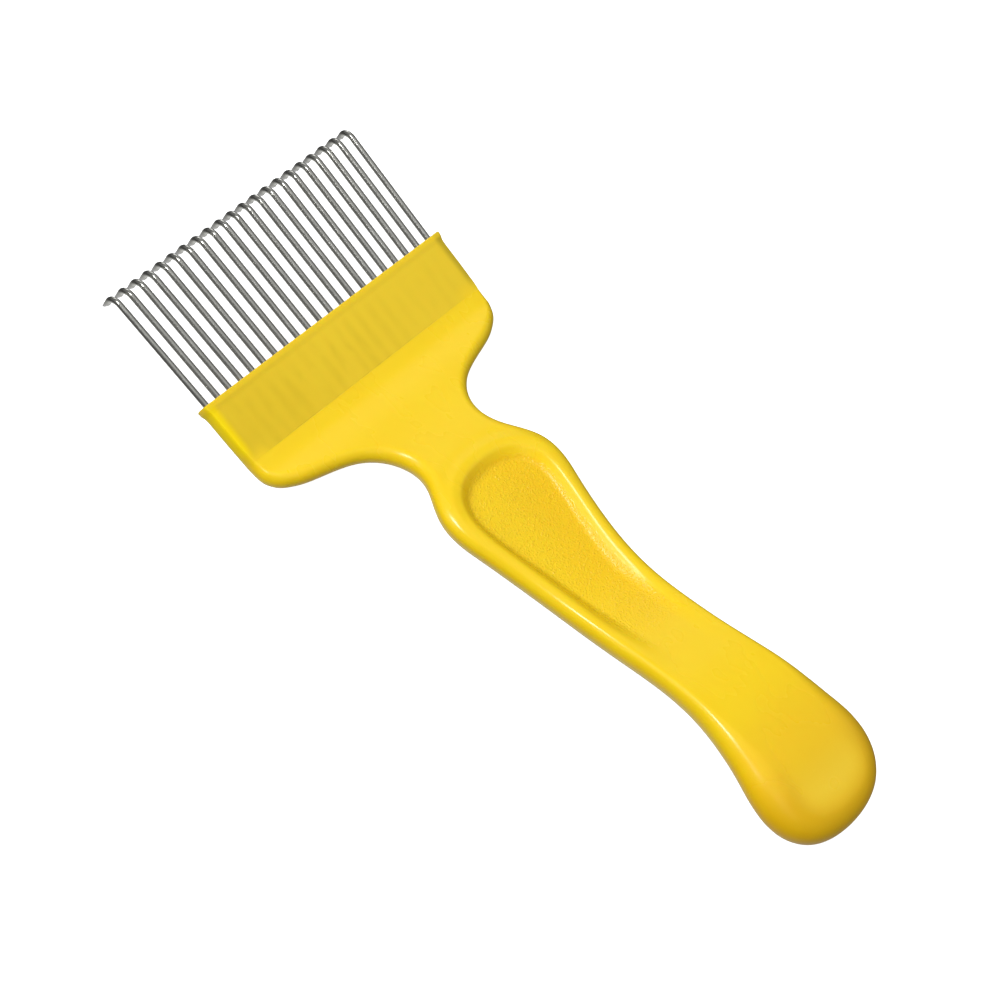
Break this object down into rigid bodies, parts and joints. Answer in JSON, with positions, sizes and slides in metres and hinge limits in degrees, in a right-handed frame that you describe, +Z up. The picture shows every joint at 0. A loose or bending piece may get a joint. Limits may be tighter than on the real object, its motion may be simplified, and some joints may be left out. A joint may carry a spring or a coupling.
{
  "type": "uncapping fork",
  "caption": "Beekeeper's uncapping fork: a wide comb of slender steel needles with hooked tips, held in a one-piece waved plastic grip with a thumb rest and a round butt.",
  "frame": {"origin": "centre of the bounding box at its bottom: the tool lies on the rear edge of the comb's underside and on the underside of the butt", "axes": "+X across the comb, +Y along the tool from the butt toward the needle tips, +Z up; the needle tips point down and the comb is pitched up toward the tips as the tool lies"},
  "size_m": [0.0826, 0.2048, 0.0167],
  "materials": {
    "yellow_plastic": "satin injection-moulded yellow plastic, finely stippled in the thumb rest",
    "needle_steel": "drawn stainless wire, bright on the bend"
  },
  "bodies": {
    "root": {"handle": "yellow_plastic", "needle_01": "needle_steel", "needle_02": "needle_steel", "needle_03": "needle_steel", "needle_04": "needle_steel", "needle_05": "needle_steel", "needle_06": "needle_steel", "needle_07": "needle_steel", "needle_08": "needle_steel", "needle_09": "needle_steel", "needle_10": "needle_steel", "needle_11": "needle_steel", "needle_12": "needle_steel", "needle_13": "needle_steel", "needle_14": "needle_steel", "needle_15": "needle_steel", "needle_16": "needle_steel", "needle_17": "needle_steel", "needle_18": "needle_steel", "needle_19": "needle_steel", "needle_20": "needle_steel", "needle_21": "needle_steel"}
  },
  "joints": []
}
